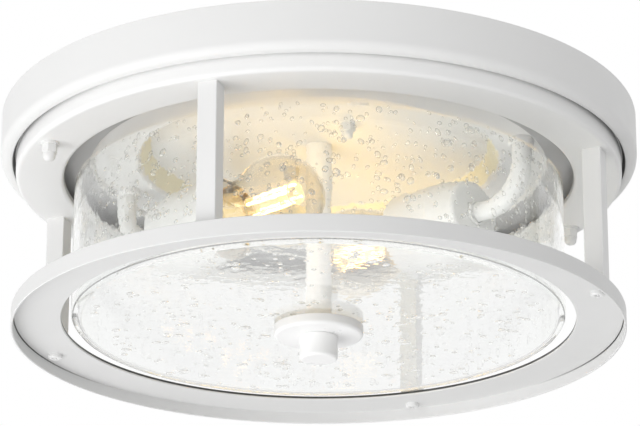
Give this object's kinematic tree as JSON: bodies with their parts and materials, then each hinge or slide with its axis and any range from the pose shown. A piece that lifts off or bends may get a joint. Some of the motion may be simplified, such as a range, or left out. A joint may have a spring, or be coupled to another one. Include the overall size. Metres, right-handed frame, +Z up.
{
  "type": "flush mount ceiling light",
  "caption": "Round flush mount ceiling light: stamped canopy, open cage of rings and square posts, seeded glass drum held by a finial, bulbs on bent arms inside.",
  "frame": {"origin": "middle of the ceiling face, on the mounting crossbar's top face", "axes": "+Z up into the ceiling, +X along the crossbar arm that holds the canopy screws, +Y along the arm with the box screw slots; the posts stand on the diagonals"},
  "size_m": [0.33, 0.33, 0.1275],
  "materials": {
    "white_paint": "satin",
    "zinc_steel": "zinc plated",
    "brass": "plated",
    "green_screw": "dyed zinc",
    "seeded_glass": "clear with seed bubbles",
    "white_phenolic": "moulded",
    "bulb_glass": "clear",
    "mount_glass": "clear",
    "filament": "lit",
    "gasket": "soft"
  },
  "bodies": {
    "fixture": {"arm_collars": "white_paint", "arm_locknuts": "zinc_steel", "bottom_ring": "white_paint", "canopy": "white_paint", "canopy_cap_nuts": "white_paint", "canopy_screws": "zinc_steel", "centre_contact_left": "brass", "centre_contact_right": "brass", "crossbar_jam_nuts": "zinc_steel", "cup_collars": "white_paint", "frame_cap_nuts": "white_paint", "frame_ring": "white_paint", "frame_studs": "zinc_steel", "frame_washers": "white_paint", "ground_screw": "green_screw", "lamp_arm_left": "white_paint", "lamp_arm_right": "white_paint", "lampholder_left": "white_phenolic", "lampholder_right": "white_phenolic", "mounting_crossbar": "zinc_steel", "post_back": "white_paint", "post_front": "white_paint", "post_left": "white_paint", "post_right": "white_paint", "post_screws_lower": "white_paint", "post_screws_upper": "zinc_steel", "rod_nut": "zinc_steel", "rod_washer": "zinc_steel", "screw_shell_left": "brass", "screw_shell_right": "brass", "shade_gasket_upper": "gasket", "socket_cup_left": "white_paint", "socket_cup_right": "white_paint", "socket_nuts": "zinc_steel", "stem_lower": "white_paint", "stem_upper": "white_paint", "threaded_rod": "zinc_steel"},
    "shade": {"glass_shade": "seeded_glass", "shade_gasket_lower": "gasket", "finial_plate": "white_paint"},
    "finial": {"finial_knob": "white_paint"},
    "bulb_right": {"bulb_cap_right": "brass", "bulb_envelope_right": "bulb_glass", "filament_mount_right": "mount_glass", "filaments_right": "filament"},
    "bulb_left": {"bulb_cap_left": "brass", "bulb_envelope_left": "bulb_glass", "filament_mount_left": "mount_glass", "filaments_left": "filament"}
  },
  "joints": [
    {"name": "shade_drop", "type": "slide", "parent": "fixture", "child": "shade", "axis": [0, 0, -1], "range_m": [0, 0.085]},
    {"name": "finial_turn", "type": "hinge", "parent": "shade", "child": "finial", "pos_m": [0, 0, -0.1214], "axis": [0, 0, 1], "continuous": true},
    {"name": "bulb_right_turn", "type": "hinge", "parent": "fixture", "child": "bulb_right", "pos_m": [0.07743, 0.07743, -0.0545], "axis": [-0.9239, -0.3827, 0], "continuous": true},
    {"name": "bulb_left_turn", "type": "hinge", "parent": "fixture", "child": "bulb_left", "pos_m": [-0.07743, -0.07743, -0.0545], "axis": [0.9239, 0.3827, 0], "continuous": true}
  ]
}
